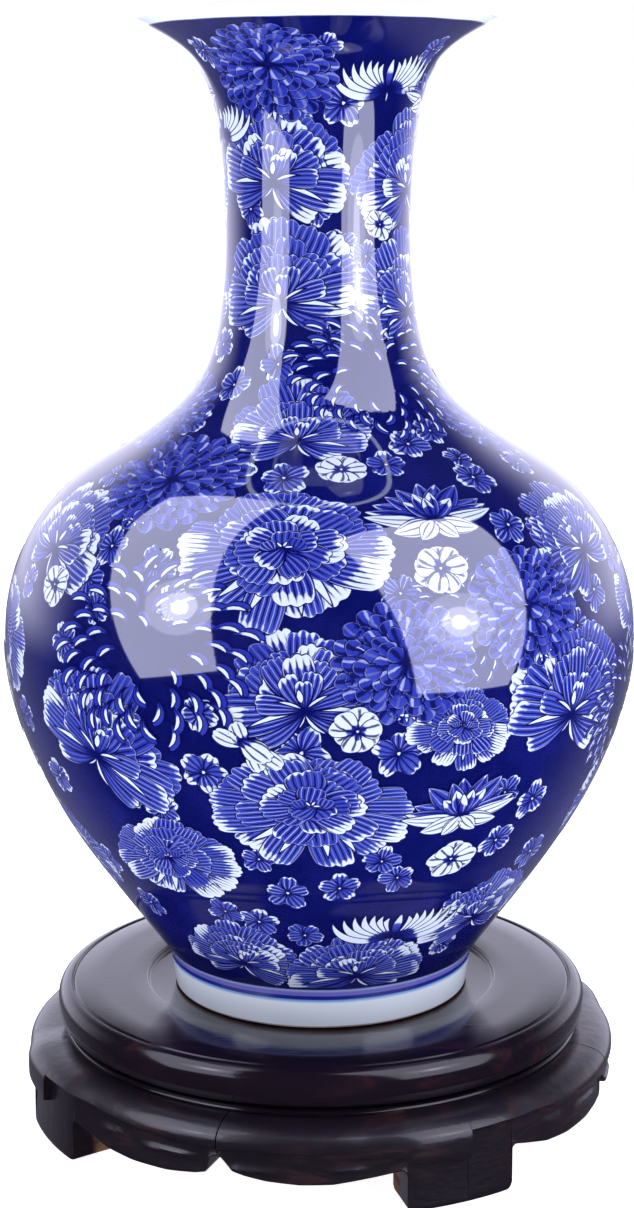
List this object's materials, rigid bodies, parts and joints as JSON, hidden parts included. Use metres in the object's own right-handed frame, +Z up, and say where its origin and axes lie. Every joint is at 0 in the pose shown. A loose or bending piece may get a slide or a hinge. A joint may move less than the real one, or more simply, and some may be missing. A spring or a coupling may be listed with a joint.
{
  "type": "porcelain vase on stand",
  "caption": "Ball-bellied blue and white porcelain vase with a trumpet mouth, standing loose on a round carved dark wood stand with short feet.",
  "frame": {"origin": "middle of the stand on the surface it stands on", "axes": "+Z up along the vase's axis, front towards -Y, +X to the right seen from the front"},
  "size_m": [0.214, 0.214, 0.3725],
  "materials": {
    "porcelain": "high-gloss clear glaze over cobalt blue and white flowers, white lip and foot band, bare fired edge under the foot",
    "lacquered_wood": "near-black purple-brown gloss lacquer on fine-grained hardwood, red-brown where it wears thin",
    "dowel_wood": "plain turned hardwood, unfinished",
    "screw_steel": "zinc-plated steel"
  },
  "bodies": {
    "stand": {"stand_top": "lacquered_wood", "stand_waist": "lacquered_wood", "base_quarter_1": "lacquered_wood", "base_quarter_2": "lacquered_wood", "base_quarter_3": "lacquered_wood", "base_quarter_4": "lacquered_wood", "joint_dowel_1_inner": "dowel_wood", "joint_dowel_1_outer": "dowel_wood", "joint_dowel_2_inner": "dowel_wood", "joint_dowel_2_outer": "dowel_wood", "joint_dowel_3_inner": "dowel_wood", "joint_dowel_3_outer": "dowel_wood", "joint_dowel_4_inner": "dowel_wood", "joint_dowel_4_outer": "dowel_wood", "top_screw_1": "screw_steel", "top_screw_2": "screw_steel", "top_screw_3": "screw_steel", "top_screw_4": "screw_steel"},
    "vase": {"vase_body": "porcelain"}
  },
  "joints": [
    {"name": "vase_lift", "type": "slide", "parent": "stand", "child": "vase", "axis": [0, 0, 1], "range_m": [0, 0.06]}
  ]
}
